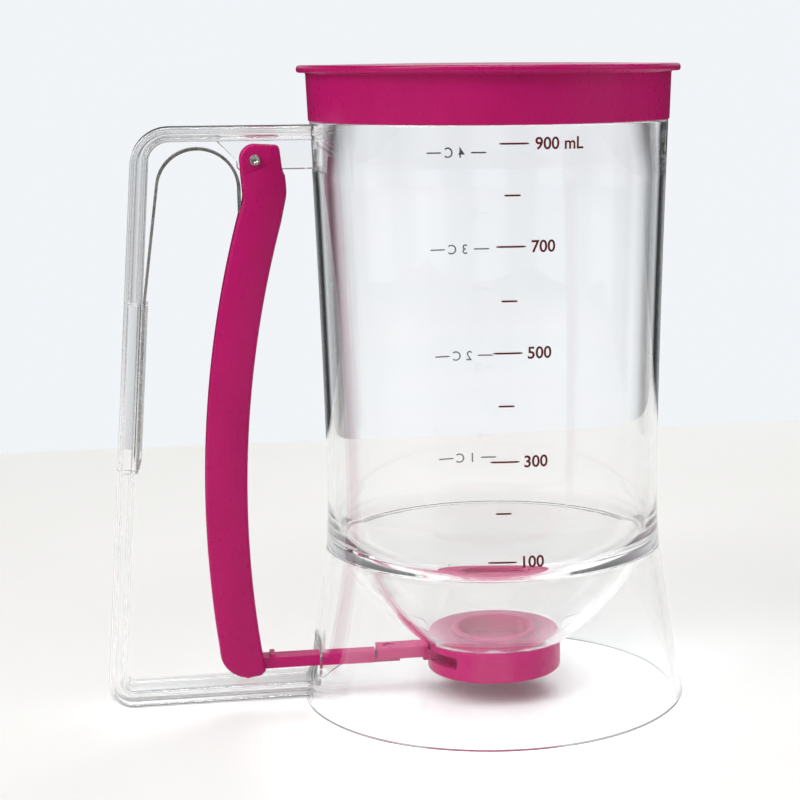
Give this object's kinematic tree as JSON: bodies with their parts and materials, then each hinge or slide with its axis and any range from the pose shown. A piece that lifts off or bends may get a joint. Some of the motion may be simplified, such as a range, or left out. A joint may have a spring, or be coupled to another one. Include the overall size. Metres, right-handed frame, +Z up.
{
  "type": "batter dispenser",
  "caption": "Clear batter jug on a flared skirt with a push-on lid, a handle frame and a squeeze trigger that slides a gate under the outlet.",
  "frame": {"origin": "on the jug's axis, in the plane of the skirt's lower edge, which stands on the table", "axes": "+Z up along the jug's axis, -X towards the handle, +Y to the back when the handle is on the left"},
  "size_m": [0.1695, 0.113, 0.1851],
  "materials": {
    "clear_plastic": "clear moulded styrene, polished",
    "magenta_plastic": "opaque magenta moulded plastic, semi-gloss",
    "steel": "bright spring steel"
  },
  "bodies": {
    "jug": {"container": "clear_plastic", "base_skirt": "clear_plastic", "handle_frame": "clear_plastic", "nozzle_cap": "magenta_plastic", "pivot_pin": "steel", "leaf_spring": "steel"},
    "lid": {"lid": "magenta_plastic"},
    "trigger": {"trigger": "magenta_plastic"},
    "pull_rod": {"pull_rod": "magenta_plastic"},
    "gate": {"gate_plate": "magenta_plastic"}
  },
  "joints": [
    {"name": "lid_lift", "type": "slide", "parent": "jug", "child": "lid", "axis": [0, 0, 1], "range_m": [0, 0.06]},
    {"name": "trigger_pivot", "type": "hinge", "parent": "jug", "child": "trigger", "pos_m": [-0.0669, 0, 0.1588], "axis": [0, 1, 0], "range_deg": [0, 10], "stiffness_Nm_per_rad": 2, "springref_deg": -14.32, "deforming": ["leaf_spring"]},
    {"name": "rod_hinge", "type": "hinge", "parent": "trigger", "child": "pull_rod", "pos_m": [-0.073, 0, 0.0126], "axis": [0, 1, 0], "range_deg": [-6, 0]},
    {"name": "gate_slide", "type": "slide", "parent": "jug", "child": "gate", "axis": [-1, 0, 0], "range_m": [0, 0.0253]}
  ],
  "couplings": [
    {"joint": "rod_hinge", "follows": "trigger_pivot", "ratio": -0.6},
    {"joint": "gate_slide", "follows": "trigger_pivot", "m_per_rad": 0.1444}
  ]
}
